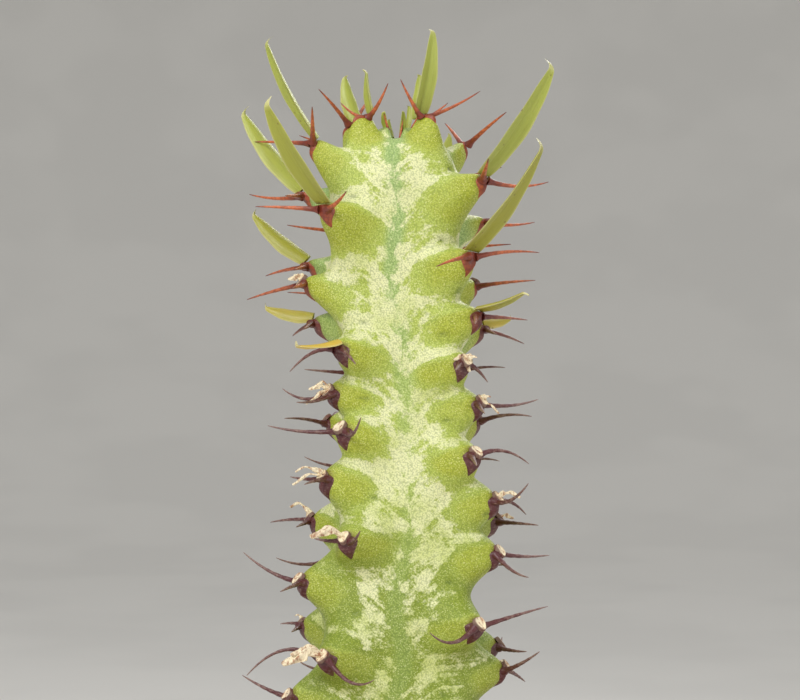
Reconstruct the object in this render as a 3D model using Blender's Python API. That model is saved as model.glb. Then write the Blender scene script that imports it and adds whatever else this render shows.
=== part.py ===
"""A potted euphorbia: a toothed, four-ribbed stem with leaves and paired spines, rooted in a clay pot.

Metres, +Z up. The origin is the centre of the pot's underside, and the plant's front faces -Y. A place on the
stem is given by its reach, the way from the growing tip over the skin, and its turn, the angle from the front.
"""

import math

import bmesh
import bpy
import numpy as np
from mathutils import Vector

MM = 0.001
GAP = 0.0003

# Pot, from the ground up
POT_HEIGHT = 0.088
POT_BASE_RADIUS = 0.034
POT_MOUTH_RADIUS = 0.0455
POT_WALL = 0.0045
POT_FLOOR = 0.006
RIM_HEIGHT = 0.021
RIM_STEP = 0.004
RIM_ROUND = 0.0015
DRAIN_RADIUS = 0.006
TURNED_STEPS = 48

# Soil, filled to a little below the rim
SOIL_DROP = 0.010
SOIL_CROWN = 0.002

# Stem: its height over the soil, how deep it is set, and its widths at each reach in millimetres. The last
# reach is at the soil, where the skin narrows to the root
STEM_HEIGHT = 0.150
ROOT_DEPTH = 0.020
ROOT_RADIUS = 0.0125
REACH_KNOTS = (0, 3, 6, 9, 12, 16, 22, 36, 54, 72, 102, 130, 148, 156.5)
DEPTH_AT_KNOTS = (5.2, 4.4, 3.6, 4.5, 6.6, 10.0, 15.5, 29.5, 47.5, 65.5, 95.5, 123.5, 141.5, 150)
GROOVE_RADII = (0, 2.6, 4.8, 6.6, 7.9, 8.8, 9.0, 8.6, 7.8, 9.4, 11.2, 12.0, 12.3, ROOT_RADIUS / MM)
RIDGE_RADII = (0, 3.0, 5.9, 8.5, 10.4, 11.8, 12.2, 11.6, 9.7, 12.2, 14.6, 15.2, 14.0, ROOT_RADIUS / MM)
RIDGE_SPREAD = math.radians(27)
SWAY = 0.0009
SWAY_LENGTH = 0.080
SWAY_START = 0.035

# Teeth of each rib from the tip down, as reach in millimetres and turn in degrees
RIBS = {
    "front_left": (
        (5.5, -66), (12.7, -76), (23.5, -43), (35, -80), (45.5, -44), (52.5, -58),
        (59, -45), (66.8, -55), (76, -33), (83.4, -64), (94.9, -38), (102.3, -64),
    ),
    "front_right": (
        (5.5, 54), (18.4, 60), (31.1, 48), (40.3, 56), (47.8, 44), (54.4, 60),
        (63, 47), (70.3, 66), (78.9, 66), (90, 46), (98.6, 80),
    ),
    "back_left": (
        (8, -125), (13, -152), (20, -98), (25.5, -150), (32, -102), (36.5, -150),
        (41.3, -98), (49.5, -148), (58.4, -118), (66, -150), (74.6, -112), (82, -140),
        (93, -120), (101, -152),
    ),
    "back_right": (
        (6, 138), (12, 122), (17, 150), (24.5, 110), (29, 150), (35, 126),
        (42.2, 112), (50, 150), (58, 122), (66, 148), (74.5, 102), (84, 145),
        (95.9, 104), (104, 150),
    ),
}
LOWER_PITCH = 0.0098
LOWER_SWING = math.radians(14)
LAST_TOOTH_ABOVE_SOIL = 0.012
TOOTH_HEIGHT = 0.0046
TOOTH_HALF_WIDTH = 0.0034
TOOTH_FACE = 0.0015
TOOTH_SLOPE = 0.0036

# A young tooth has a short, level shelf that lifts its tip, and an old one a long shelf that falls outwards
YOUNG_SHELF = 0.0017
OLD_SHELF = 0.0030
YOUNG_LIFT = 0.30
OLD_LIFT = -0.10
STEM_SIDES = 40
ROW_PITCH = 0.0021

# Spine pairs, each on a horny shield that sits on the tooth's tip
SPINE_PAIRS_A_RIB = 10
SPINE_PAIRS = 39
SPINE_LENGTH = 0.0108
SPINE_RADIUS = 0.00052
SPINE_TIP_RADIUS = 0.00007
SPINE_SPREAD = math.radians(66)
SHIELD_HEIGHT = 0.0036
SHIELD_HALF_WIDTH = 0.0013
SHIELD_THICKNESS = 0.0008
RING_SIDES = 6

# Leaves of each rib, by the number of their tooth: length in millimetres and rise above level in degrees
LEAVES = {
    "front_left": {0: (7.5, 80), 1: (18.8, 59), 2: (20.5, 46), 4: (9.6, -7)},
    "front_right": {0: (14.7, 76), 1: (21.9, 50), 2: (22.5, 44), 3: (9.5, 14)},
    "back_left": {0: (8.5, 71), 1: (6.5, 62), 2: (17.6, 49), 3: (12, 50), 4: (12.9, 37), 6: (8.8, 8)},
    "back_right": {0: (7.9, 84), 2: (8.5, 62), 4: (12, 46), 6: (5.5, 5)},
}
LEAF_SLIMNESS = 0.16
LEAF_THICKNESS = 0.0007


def clear_scene():
    for thing in list(bpy.data.objects):
        bpy.data.objects.remove(thing)


def material(name, colour, roughness):
    """A Principled material of one colour."""
    made = bpy.data.materials.new(name)
    made.use_nodes = True
    shader = made.node_tree.nodes["Principled BSDF"]
    shader.inputs["Base Color"].default_value = (*colour, 1)
    shader.inputs["Roughness"].default_value = roughness
    made.diffuse_color = (*colour, 1)
    return made


def place(name, mesh, finish, parent, at=(0, 0, 0)):
    """Adds the mesh to the scene as a named object, smooth but for its sharp edges."""
    mesh.materials.append(finish)
    mesh.shade_smooth()
    mesh.set_sharp_from_angle(angle=math.radians(40))
    thing = bpy.data.objects.new(name, mesh)
    bpy.context.collection.objects.link(thing)
    thing.parent = parent
    thing.location = at
    return thing


def turned(name, profile, closed, finish, parent, at):
    """Turns a profile of (radius, height) points about Z, with a Screw modifier."""
    mesh = bpy.data.meshes.new(name)
    count = len(profile)
    edges = [(i, (i + 1) % count) for i in range(count if closed else count - 1)]
    mesh.from_pydata([(radius, 0, height) for radius, height in profile], edges, [])
    thing = place(name, mesh, finish, parent, at)
    screw = thing.modifiers.new("turn", "SCREW")
    screw.steps = screw.render_steps = TURNED_STEPS
    screw.use_merge_vertices = True
    screw.merge_threshold = 0.00001
    screw.use_smooth_shade = True
    return thing


def rounded(corner, before, after, radius, steps=3):
    """Points of an arc of about this radius that rounds a profile's corner."""
    corner, before, after = Vector(corner), Vector(before), Vector(after)
    start = corner + (before - corner).normalized() * radius
    end = corner + (after - corner).normalized() * radius
    shares = [i / steps for i in range(steps + 1)]
    return [tuple(start * (1 - t) ** 2 + corner * 2 * t * (1 - t) + end * t**2) for t in shares]


def pot_wall_radius(height):
    """Radius of the pot's outer wall below its rim, at a height."""
    return POT_BASE_RADIUS + (POT_MOUTH_RADIUS - POT_BASE_RADIUS) * height / POT_HEIGHT


def pot_profile():
    """The pot's section, from the mouth's inner edge over the rim, down outside and up inside."""
    rim_foot = POT_HEIGHT - RIM_HEIGHT
    rim_radius = POT_MOUTH_RADIUS + RIM_STEP
    inner_top = (POT_MOUTH_RADIUS - POT_WALL, POT_HEIGHT)
    inner_foot = (pot_wall_radius(POT_FLOOR) - POT_WALL, POT_FLOOR)
    outer_top = (rim_radius, POT_HEIGHT)
    outer_rim_foot = (pot_wall_radius(rim_foot) + RIM_STEP, rim_foot)
    under_rim = (pot_wall_radius(rim_foot), rim_foot)
    base = (POT_BASE_RADIUS, 0)
    bore_foot = (DRAIN_RADIUS, 0)
    bore_top = (DRAIN_RADIUS, POT_FLOOR)
    return [
        *rounded(inner_top, inner_foot, outer_top, RIM_ROUND),
        *rounded(outer_top, inner_top, outer_rim_foot, RIM_ROUND),
        *rounded(outer_rim_foot, outer_top, under_rim, RIM_ROUND),
        under_rim,
        *rounded(base, under_rim, bore_foot, RIM_ROUND / 2, steps=2),
        bore_foot,
        bore_top,
        inner_foot,
    ]


def soil_profile():
    """The soil's section, from the foot of the stem's socket over the crown and down the pot's inner wall."""
    foot = POT_FLOOR + GAP
    wall_gap = POT_WALL + GAP
    top = POT_HEIGHT - SOIL_DROP
    socket = ROOT_RADIUS + GAP
    edge = pot_wall_radius(top) - wall_gap
    shares = (1 / 3, 2 / 3)
    crown = [(socket + (edge - socket) * t, top - SOIL_CROWN * t**2) for t in shares]
    return [
        (0, top - ROOT_DEPTH - GAP),
        (socket, top - ROOT_DEPTH - GAP),
        (socket, top),
        *crown,
        (pot_wall_radius(top - SOIL_CROWN) - wall_gap, top - SOIL_CROWN),
        (pot_wall_radius(foot) - wall_gap, foot),
        (0, foot),
    ]


def smooth(x, knots, values):
    """A cubic curve through the values, whose slope at each knot comes from the knots beside it."""
    knots = np.array(knots, float)
    values = np.array(values, float)
    slopes = np.gradient(values, knots)
    i = np.clip(np.searchsorted(knots, x) - 1, 0, len(knots) - 2)
    span = knots[i + 1] - knots[i]
    t = np.clip((x - knots[i]) / span, 0, 1)
    start = (2 * t**3 - 3 * t**2 + 1) * values[i] + (t**3 - 2 * t**2 + t) * span * slopes[i]
    end = (3 * t**2 - 2 * t**3) * values[i + 1] + (t**3 - t**2) * span * slopes[i + 1]
    return start + end


def by_reach(reach, values):
    """A width or a depth in metres at this reach, from its millimetres at the reach knots."""
    return smooth(reach / stretch(), np.array(REACH_KNOTS) * MM, np.array(values) * MM)


def stretch():
    """How much longer this stem is than the one that the knots describe."""
    return STEM_HEIGHT / (DEPTH_AT_KNOTS[-1] * MM)


def turn_between(turn, other):
    """The angle from one turn to another, the short way round."""
    return (turn - other + math.pi) % (2 * math.pi) - math.pi


def rib_teeth(teeth):
    """(reach, turn) of every tooth of a rib: the stated ones, then the older ones at an even pitch."""
    found = [(reach * MM * stretch(), math.radians(turn)) for reach, turn in teeth]
    middle = sum(turn for _, turn in found) / len(found)
    side = math.copysign(1, middle - found[-1][1])
    last = REACH_KNOTS[-1] * MM * stretch() - LAST_TOOTH_ABOVE_SOIL
    while found[-1][0] + LOWER_PITCH < last:
        found.append((found[-1][0] + LOWER_PITCH, middle + side * LOWER_SWING))
        side = -side
    return found


TEETH = {rib: rib_teeth(teeth) for rib, teeth in RIBS.items()}
ALL_TEETH = [tooth for teeth in TEETH.values() for tooth in teeth]


def ridge_weight(reach, turn):
    """1 on the crest of a rib and 0 in a groove: a bell curve round each rib's line, which the teeth sway."""
    weight = np.zeros(np.broadcast(reach, turn).shape)
    for teeth in TEETH.values():
        reaches, turns = np.array(teeth).T
        line = (np.interp(reach, reaches, turns) + turns.mean()) / 2
        weight = np.maximum(weight, np.exp(-((turn_between(turn, line) / RIDGE_SPREAD) ** 2)))
    return weight


def tooth_growth(reach):
    """How grown a tooth is: 0.55 beside the tip, and 1 from 16 mm on."""
    return np.clip(0.45 + reach / stretch() / 0.030, 0.55, 1)


def tooth_age(reach):
    """0 for a tooth up to 30 mm from the tip and 1 from 70 mm on."""
    return np.clip((reach / stretch() - 0.030) / 0.040, 0, 1)


def tooth_swell(reach, turn, radius):
    """How far the teeth raise the skin: each is a bell across, with a shelf above and a long slope below."""
    total = 0
    for tooth_reach, tooth_turn in ALL_TEETH:
        grown = tooth_growth(tooth_reach)
        shelf = YOUNG_SHELF + (OLD_SHELF - YOUNG_SHELF) * tooth_age(tooth_reach)
        across = turn_between(turn, tooth_turn) * np.maximum(radius, 0.004) / (TOOTH_HALF_WIDTH * grown)
        below = reach - tooth_reach
        along = np.where(
            below < 0,
            below / (shelf * grown),
            np.maximum(below - TOOTH_FACE * grown, 0) / (TOOTH_SLOPE * grown),
        )
        total = total + (TOOTH_HEIGHT * grown * np.exp(-(across**2) - along**2)) ** 3
    return total ** (1 / 3)


def skin(reach, turn):
    """The stem's surface: a ribbed column with a domed tip, raised by its teeth along the skin's own normal."""
    reach, turn = np.broadcast_arrays(np.asarray(reach, float), np.asarray(turn, float))
    groove = by_reach(reach, GROOVE_RADII)
    ridge = by_reach(reach, RIDGE_RADII)
    depth = by_reach(reach, DEPTH_AT_KNOTS) * stretch()
    step = 0.5 * MM
    widens = by_reach(reach + step, RIDGE_RADII) - by_reach(reach - step, RIDGE_RADII)
    sinks = by_reach(reach + step, DEPTH_AT_KNOTS) - by_reach(reach - step, DEPTH_AT_KNOTS)
    swell = tooth_swell(reach, turn, ridge)
    length = np.hypot(widens, sinks)
    length = np.where(length > 0, length, 1)
    lift = YOUNG_LIFT + (OLD_LIFT - YOUNG_LIFT) * tooth_age(reach)
    radius = groove + (ridge - groove) * ridge_weight(reach, turn) + swell * sinks / length
    height = stem_top() - depth + swell * (np.maximum(widens, 0) / length + lift)
    fade = np.clip(1 - depth / STEM_HEIGHT, 0, 1)
    lean = SWAY * np.sin(2 * math.pi * (depth - SWAY_START) / SWAY_LENGTH) * np.minimum(3 * fade, 1)
    return np.stack([radius * np.sin(turn) + lean, -radius * np.cos(turn), height], axis=-1)


def stem_top():
    """Height of the stem's tip."""
    return POT_HEIGHT - SOIL_DROP + STEM_HEIGHT


def lofted(name, rings, finish, parent, at=(0, 0, 0)):
    """A closed skin over rings of points, whose first and last rings are filled."""
    build = bmesh.new()
    rows = [[build.verts.new(point) for point in ring] for ring in rings]
    for upper, lower in zip(rows, rows[1:]):
        for i, corner in enumerate(upper):
            build.faces.new((corner, lower[i], lower[i - 1], upper[i - 1]))
    build.faces.new(rows[0])
    build.faces.new(reversed(rows[-1]))
    bmesh.ops.recalc_face_normals(build, faces=build.faces)
    mesh = bpy.data.meshes.new(name)
    build.to_mesh(mesh)
    build.free()
    return place(name, mesh, finish, parent, at)


def make_stem(finish, parent):
    """The stem's skin down to the soil, and its plain round root end set into the socket."""
    soil_reach = REACH_KNOTS[-1] * MM * stretch()
    turns = np.linspace(0, 2 * math.pi, STEM_SIDES, endpoint=False)
    rows = np.linspace(1.2 * MM, soil_reach, round(soil_reach / ROW_PITCH))
    rings = list(skin(rows[:, None], turns[None, :]))
    circle = np.stack([np.sin(turns), -np.cos(turns), 0 * turns], axis=-1)
    foot = stem_top() - STEM_HEIGHT - ROOT_DEPTH
    for share, height in ((1, 0.35 * ROOT_DEPTH), (0.8, 0.1 * ROOT_DEPTH), (0.5, 0)):
        rings.append(circle * ROOT_RADIUS * share + (0, 0, foot + height))
    return lofted("stem", rings, finish, parent)


def tooth_axes(reach, turn):
    """A tooth's tip and its three directions: outward, to the side, and up along its face."""
    tip = Vector(skin(reach, turn))
    side = Vector((math.cos(turn), math.sin(turn), 0))
    step = 0.4 * MM
    along = Vector(skin(reach - step, turn)) - Vector(skin(reach + step, turn))
    lean = min(max(along.normalized().z, 0.5), 1)
    level = Vector((math.sin(turn), -math.cos(turn), 0))
    up = (Vector((0, 0, lean)) - level * math.sqrt(1 - lean**2)).normalized()
    return tip, side.cross(up), side, up


def ring_of(centre, wide, tall):
    """Points of an ellipse round a centre, with these two half axes."""
    angles = [2 * math.pi * i / RING_SIDES for i in range(RING_SIDES)]
    return [centre + wide * math.cos(a) + tall * math.sin(a) for a in angles]


def make_spines(name, reach, turn, number, finish, parent):
    """A shield with its two spines, lofted in one sweep from the one tip over the shield to the other."""
    tip, out, side, up = tooth_axes(reach, turn)
    grown = min(max(0.5 + reach / stretch() / 0.030, 0.6), 1)
    thick = SHIELD_THICKNESS / 2
    seat = out * (GAP + thick + 0.0015 * (1 - grown))
    length = SPINE_LENGTH * grown * (1 + 0.1 * math.sin(5.1 * number))
    tilt = 0.9 * (1 - grown) + 0.10 * math.sin(3.7 * number)
    spread = SPINE_SPREAD * grown
    tall = SHIELD_HEIGHT * grown
    wing = []
    for share in (1, 0.5, 0):
        radius = SPINE_TIP_RADIUS + (SPINE_RADIUS - SPINE_TIP_RADIUS) * (1 - share)
        way = out * math.cos(spread) + up * (tilt + 0.12 * share)
        wing.append((share, radius, way))
    rings = []
    for hand in (-1, 1):
        half = []
        for share, radius, way in wing:
            way = way + side * (hand * math.sin(spread))
            root = side * (hand * SHIELD_HALF_WIDTH) + out * thick - up * SPINE_RADIUS
            across = way.cross(up).normalized() * (hand * radius)
            half.append(ring_of(seat + root + way * (length * share), across, up * radius))
        edge = seat + side * (hand * 0.7 * SHIELD_HALF_WIDTH) - up * (0.25 * tall)
        half.append(ring_of(edge, out * thick, up * (0.25 * tall)))
        rings.append(half)
    middle = ring_of(seat - up * (0.45 * tall), out * thick, up * (0.5 * tall))
    return lofted(name, [*rings[0], middle, *reversed(rings[1])], finish, parent, at=tip)


def make_leaf(name, reach, turn, length, rise, finish, parent):
    """A narrow blade, widest a third of the way up, that springs from above its tooth's shield."""
    tip, out, side, up = tooth_axes(reach, turn)
    level = Vector((math.sin(turn), -math.cos(turn), 0))
    way = level * math.cos(rise) + Vector((0, 0, math.sin(rise)))
    over = way.cross(side).normalized()
    root = out * (GAP + LEAF_THICKNESS) + up * (4 * GAP)
    rings = []
    for share in (0, 0.15, 0.35, 0.6, 0.85, 1):
        width = length * LEAF_SLIMNESS / 2 * (0.5 + 1.5 * share) * (1 - share**2.2) ** 0.8 + 0.1 * MM
        thick = LEAF_THICKNESS / 2 * (1 - 0.7 * share)
        droop = over * (0.04 * length * share**3)
        rings.append(ring_of(root + way * (length * share) + droop, side * width, over * thick))
    return lofted(name, rings, finish, parent, at=tip)


def make_plant(parent):
    """The stem, then each rib's leaves and spine pairs, numbered from the tip down."""
    stem = make_stem(material("stem_skin", (0.42, 0.55, 0.12), 0.45), parent)
    leaf_green = material("leaf_green", (0.33, 0.48, 0.08), 0.45)
    horn = material("spine_horn", (0.20, 0.06, 0.05), 0.5)
    left = SPINE_PAIRS
    for rib, teeth in TEETH.items():
        for i, (length, rise) in LEAVES[rib].items():
            make_leaf(f"leaf_{rib}_{i + 1:02d}", *teeth[i], length * MM, math.radians(rise), leaf_green, stem)
        for i, tooth in enumerate(teeth[: min(SPINE_PAIRS_A_RIB, left)]):
            make_spines(f"spines_{rib}_{i + 1:02d}", *tooth, left, horn, stem)
            left -= 1


def main():
    clear_scene()
    root = bpy.data.objects.new("potted_euphorbia", None)
    bpy.context.collection.objects.link(root)
    clay = material("pot_clay", (0.60, 0.27, 0.15), 0.85)
    earth = material("potting_soil", (0.06, 0.045, 0.03), 0.95)
    turned("pot", pot_profile(), True, clay, root, (0, 0, 0))
    turned("soil", soil_profile(), False, earth, root, (0, 0, 0))
    make_plant(root)


main()
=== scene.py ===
import math

import bpy
import numpy as np
from bpy.props import FloatProperty, FloatVectorProperty, IntProperty, PointerProperty
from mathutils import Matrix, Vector


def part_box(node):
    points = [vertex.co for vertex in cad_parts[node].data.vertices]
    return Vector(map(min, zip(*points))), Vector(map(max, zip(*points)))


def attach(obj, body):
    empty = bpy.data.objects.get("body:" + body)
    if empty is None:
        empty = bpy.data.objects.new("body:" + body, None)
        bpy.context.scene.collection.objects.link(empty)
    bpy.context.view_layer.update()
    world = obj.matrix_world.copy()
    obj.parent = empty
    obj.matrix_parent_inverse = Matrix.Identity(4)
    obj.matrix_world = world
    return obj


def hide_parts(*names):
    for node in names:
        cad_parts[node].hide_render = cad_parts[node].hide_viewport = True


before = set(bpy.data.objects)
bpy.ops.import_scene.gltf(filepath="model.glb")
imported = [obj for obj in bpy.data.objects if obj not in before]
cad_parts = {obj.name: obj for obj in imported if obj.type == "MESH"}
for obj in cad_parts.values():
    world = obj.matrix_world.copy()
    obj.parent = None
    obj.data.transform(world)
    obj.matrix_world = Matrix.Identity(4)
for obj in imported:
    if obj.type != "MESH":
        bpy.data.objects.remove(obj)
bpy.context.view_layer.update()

bl_info = {
    "name": "Potted Euphorbia",
    "version": (1, 0, 0),
    "blender": (4, 5, 0),
    "location": "View3D > Sidebar > Euphorbia",
    "description": "Builds a marbled, toothed euphorbia with its leaves, spines, soil and clay pot",
    "category": "Add Mesh",
}

MM = 0.001
ROOT_BODY = "root"

# The pot and the soil, as the frame has them
POT_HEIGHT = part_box("pot")[1][2]
POT_BASE_RADIUS = 0.034
POT_MOUTH_RADIUS = 0.0455
POT_WALL = 0.0045
POT_FLOOR = 0.006
RIM_HEIGHT = 0.021
RIM_STEP = 0.004
RIM_ROUND = 0.0015
DRAIN_RADIUS = 0.006
GAP = 0.0003
SOIL_CROWN = 0.002
THROWING_RING = 0.00046

# The stem. A place on it is a reach, the way over the skin from the growing tip, and a turn from the front
STEM_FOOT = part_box("stem")[0][2]
SOIL_LEVEL = STEM_FOOT + 0.020
STEM_HEIGHT = 0.150
STEM_TOP = SOIL_LEVEL + STEM_HEIGHT
ROOT_RADIUS = 0.0125
REACH_KNOTS = np.array((0, 3, 6, 9, 12, 16, 22, 36, 54, 72, 102, 130, 148, 156.5)) * MM
DEPTHS = np.array((5.2, 4.4, 3.6, 4.5, 6.6, 10.0, 15.5, 29.5, 47.5, 65.5, 95.5, 123.5, 141.5, 150)) * MM
GROOVE_RADII = np.array((0, 2.6, 4.8, 6.6, 7.9, 8.8, 9.0, 8.6, 7.8, 9.4, 11.2, 12.0, 12.3, 12.5)) * MM
RIDGE_RADII = np.array((0, 3.0, 5.9, 8.5, 10.4, 11.8, 12.2, 11.6, 9.7, 12.2, 14.6, 15.2, 14.0, 12.5)) * MM
RIDGE_SPREAD = math.radians(27)
SWAY = 0.0009
SWAY_LENGTH = 0.080
SWAY_START = 0.035

# Teeth of each rib from the tip down, as reach in millimetres and turn in degrees
RIBS = {
    "front_left": (
        (5.5, -66), (12.7, -76), (23.5, -43), (35, -80), (45.5, -44), (52.5, -58),
        (59, -45), (66.8, -55), (76, -33), (83.4, -64), (94.9, -38), (102.3, -64),
    ),
    "front_right": (
        (5.5, 54), (18.4, 60), (31.1, 48), (40.3, 56), (47.8, 44), (54.4, 60),
        (63, 47), (70.3, 66), (78.9, 66), (90, 46), (98.6, 80),
    ),
    "back_left": (
        (8, -125), (13, -152), (20, -98), (25.5, -150), (32, -102), (36.5, -150),
        (41.3, -98), (49.5, -148), (58.4, -118), (66, -150), (74.6, -112), (82, -140),
        (93, -120), (101, -152),
    ),
    "back_right": (
        (6, 138), (12, 122), (17, 150), (24.5, 110), (29, 150), (35, 126),
        (42.2, 112), (50, 150), (58, 122), (66, 148), (74.5, 102), (84, 145),
        (95.9, 104), (104, 150),
    ),
}
LOWER_PITCH = 0.0098
LOWER_SWING = math.radians(14)
LAST_TOOTH_ABOVE_SOIL = 0.012
TOOTH_HEIGHT = 0.0046
TOOTH_HALF_WIDTH = 0.0034
YOUNG_SHELF = 0.0017
OLD_SHELF = 0.0030
TOOTH_FACE = 0.0015
TOOTH_SLOPE = 0.0036
YOUNG_LIFT = 0.30
OLD_LIFT = -0.10
CROWN_HEIGHT = 0.0032
CROWN_REACH = 0.0042
CROWN_SLIT = 0.0015
PIT_SIDE = 0.0011
PIT_WIDTH = 0.0006
PIT_HEIGHT = 0.00035
PIT_DEPTH = 0.0004
RIPPLE_DEPTH = 0.00018
STEM_COLUMNS = 250
STEM_ROWS = 395

# The skin's marbling
CUSHION_LENGTH = 0.0068
WAIST_CUSHION_LENGTH = 0.0055
WAIST_REACH = 0.060
WAIST_SPREAD = 0.018
OLD_MARBLING = (0.075, 0.095)
PALE_BAND = 0.0048
PALE_FADE = 0.0026
GREEN_TIP = 0.011
GROOVE_BAND = 0.0032

# Leaves, scars and spines. An age goes with each reach: 0 is new and 1 is old
LEAF_AGES = ((0.015, 0.036, 0.047), (0.0, 0.42, 1.0))
LEAF_BASE_WIDTH = 0.0015
BACK_LEAF_ROLL = 0.8
FRONT_LEAF_ROLL = 0.20
SPINE_AGES = ((0.012, 0.034, 0.060, 0.105, 0.150), (0.02, 0.22, 0.62, 0.78, 1.0))
NEWEST_SCAR = 0.033

# Leaves of each rib, by the number of their tooth: length in millimetres and rise above level in degrees
LEAVES = {
    "front_left": {0: (7.5, 80), 1: (18.8, 59), 2: (20.5, 46), 4: (9.6, -7)},
    "front_right": {0: (14.7, 76), 1: (21.9, 50), 2: (22.5, 44), 3: (9.5, 14)},
    "back_left": {0: (8.5, 71), 1: (6.5, 62), 2: (17.6, 49), 3: (12, 50), 4: (12.9, 37), 6: (8.8, 8)},
    "back_right": {0: (7.9, 84), 2: (8.5, 62), 4: (12, 46), 6: (5.5, 5)},
}

# Leaflets and spines at the growing tip: turn, length in millimetres and rise of each leaflet, and turn and the
# place of the end, to the right and up from the root in millimetres, of each spine
TIP_LEAFLETS = ((0.5, 4.2, 1.45), (-0.9, 3.2, 1.3), (2.2, 4.6, 1.4), (3.6, 3.4, 1.2))
TIP_SPINES = ((0.25, 0.5, 3.9), (-0.6, -0.8, 3.0), (1.5, 1.3, 2.6), (2.8, 0.4, 3.2))

# What is left of dead leaves, by the number of their tooth: where each strip ends, to the right and up from the
# tooth, and its half width, all in millimetres
DEAD_LEAVES = {
    "front_left": {
        3: ((-1.6, 1.2, 0.7), (-0.3, 1.8, 0.5)),
        5: ((-2.2, 1.6, 0.6), (-0.8, 2.4, 0.5), (-2.6, -0.9, 0.4)),
        7: ((-2.9, 2.9, 0.55), (-3.6, 0.6, 0.4)),
        8: ((-3.6, 3.0, 1.0), (-2.4, 2.4, 0.6)),
        10: ((-4.6, 1.7, 1.3), (-3.4, 2.9, 0.9)),
    },
    "front_right": {
        4: ((-1.4, 0.9, 0.7), (1.1, 1.3, 0.7), (0.2, -1.2, 0.6)),
        5: ((0.8, 1.4, 0.6), (2.0, -0.9, 0.4)),
        7: ((2.6, 1.8, 0.6), (1.2, 1.6, 0.4)),
        10: ((-1.2, 1.9, 0.5),),
    },
    "back_left": {10: ((-1.9, 4.2, 0.6),), 12: ((-0.4, 2.0, 0.4),), 13: ((-2.0, 1.5, 0.5),)},
    "back_right": {7: ((1.5, 1.5, 0.5),), 10: ((1.8, 1.0, 0.5),), 13: ((2.2, 1.4, 0.5),)},
}

# Spines whose growth is known, by the number of their tooth, the left-hand one first: where each ends, to the
# right and up from the tooth, and how far its middle bows upwards, all in millimetres
SPINE_TIPS = {
    "front_left": {
        0: ((-4.3, 3.0, -0.5), (3.3, 5.2, -0.6)),
        1: ((-9.8, 0.9, 0.1), (0.2, 5.1, 0.0)),
        2: ((-10.5, 0.7, 0.1), (3.3, 2.3, -0.4)),
        3: ((-9.9, -2.4, 0.2), (-1.6, -0.9, 0.0)),
        4: ((-7.3, -3.6, 1.2), (2.4, -2.3, 0.2)),
        5: ((-7.6, 0.7, -1.3), (-5.6, -1.2, -0.5)),
        6: ((-11.5, 0.8, -0.5), (2.7, 2.5, -1.5)),
        7: ((-5.2, 0.1, -0.2), (-3.4, -0.4, 0.2)),
        8: ((-4.4, 0.3, -0.2), (1.8, 2.2, -0.5)),
        9: ((-9.3, 4.4, -0.8), (-3.2, -0.6, 0.1)),
        10: ((-11.9, -3.0, 2.7), (7.4, -2.4, -2.0)),
        11: ((-7.7, 2.9, -0.3), (-2.0, -1.2, 0.3)),
    },
    "front_right": {
        0: ((-3.4, 5.8, -0.3), (9.3, 4.8, -0.4)),
        1: ((0.7, 2.7, 0.0), (10.4, 0.2, -0.8)),
        2: ((-5.3, -1.9, 0.2), (10.6, 0.9, 0.5)),
        3: ((-0.5, -1.3, 0.0), (7.7, -0.5, 0.1)),
        4: ((-1.0, -0.9, 0.0), (3.2, -3.0, 0.4)),
        5: ((0.8, -1.2, 0.0), (9.4, 0.7, -0.6)),
        6: ((0.6, -1.2, 0.0), (8.3, -1.5, 1.4)),
        7: ((5.2, 3.4, -1.2), (4.9, -2.7, 0.8)),
        8: ((4.9, -2.9, -0.7), (8.5, -0.7, -0.3)),
        9: ((-7.3, 0.1, -2.0), (10.9, 2.9, 0.1)),
        10: ((5.4, 4.4, -0.3), (3.7, -3.1, 0.2)),
    },
    "back_left": {
        2: ((-9.5, 1.0, -0.5), (-2.0, -0.5, 0.0)),
        4: ((-7.7, -1.2, 0.3), (-1.5, -0.8, 0.0)),
        6: ((-3.9, -2.0, 0.3), (-1.0, -1.0, 0.0)),
        10: ((-8.0, -1.0, 0.3), (-2.0, -0.6, 0.0)),
        12: ((-4.8, -0.7, 0.2), (-1.2, -0.4, 0.0)),
    },
    "back_right": {
        0: ((-1.6, 3.0, 0.0), (5.1, 3.9, -0.2)),
        3: ((2.0, -0.4, 0.0), (9.3, 0.7, -0.4)),
        6: ((1.6, -0.9, 0.0), (7.8, -2.4, 0.3)),
    },
}


# ---- The stem's shape ----


def smooth(x, values):
    """A cubic curve through the values at the reach knots, whose slope at each comes from those beside it."""
    slopes = np.gradient(values, REACH_KNOTS)
    i = np.clip(np.searchsorted(REACH_KNOTS, x) - 1, 0, len(REACH_KNOTS) - 2)
    span = REACH_KNOTS[i + 1] - REACH_KNOTS[i]
    t = np.clip((x - REACH_KNOTS[i]) / span, 0, 1)
    start = (2 * t**3 - 3 * t**2 + 1) * values[i] + (t**3 - 2 * t**2 + t) * span * slopes[i]
    end = (3 * t**2 - 2 * t**3) * values[i + 1] + (t**3 - t**2) * span * slopes[i + 1]
    return start + end


def turn_between(turn, other):
    """The angle from one turn to another, the short way round."""
    return (turn - other + math.pi) % (2 * math.pi) - math.pi


def whole_turn(count):
    """Evenly spaced turns of one whole round."""
    return np.linspace(0, 2 * math.pi, count, endpoint=False)


def around(radius, turn, height):
    """Points at a radius from the axis, a turn from the front and a height."""
    radius, turn, height = np.broadcast_arrays(radius, turn, height)
    return np.stack([radius * np.sin(turn), -radius * np.cos(turn), height], axis=-1)


def level_ways(turn):
    """The two level directions at a turn: straight out from the axis, and to the side."""
    return np.array((math.sin(turn), -math.cos(turn), 0)), np.array((math.cos(turn), math.sin(turn), 0))


def unit(vectors):
    """The vectors at a length of 1."""
    return vectors / np.linalg.norm(vectors, axis=-1, keepdims=True)


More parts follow.
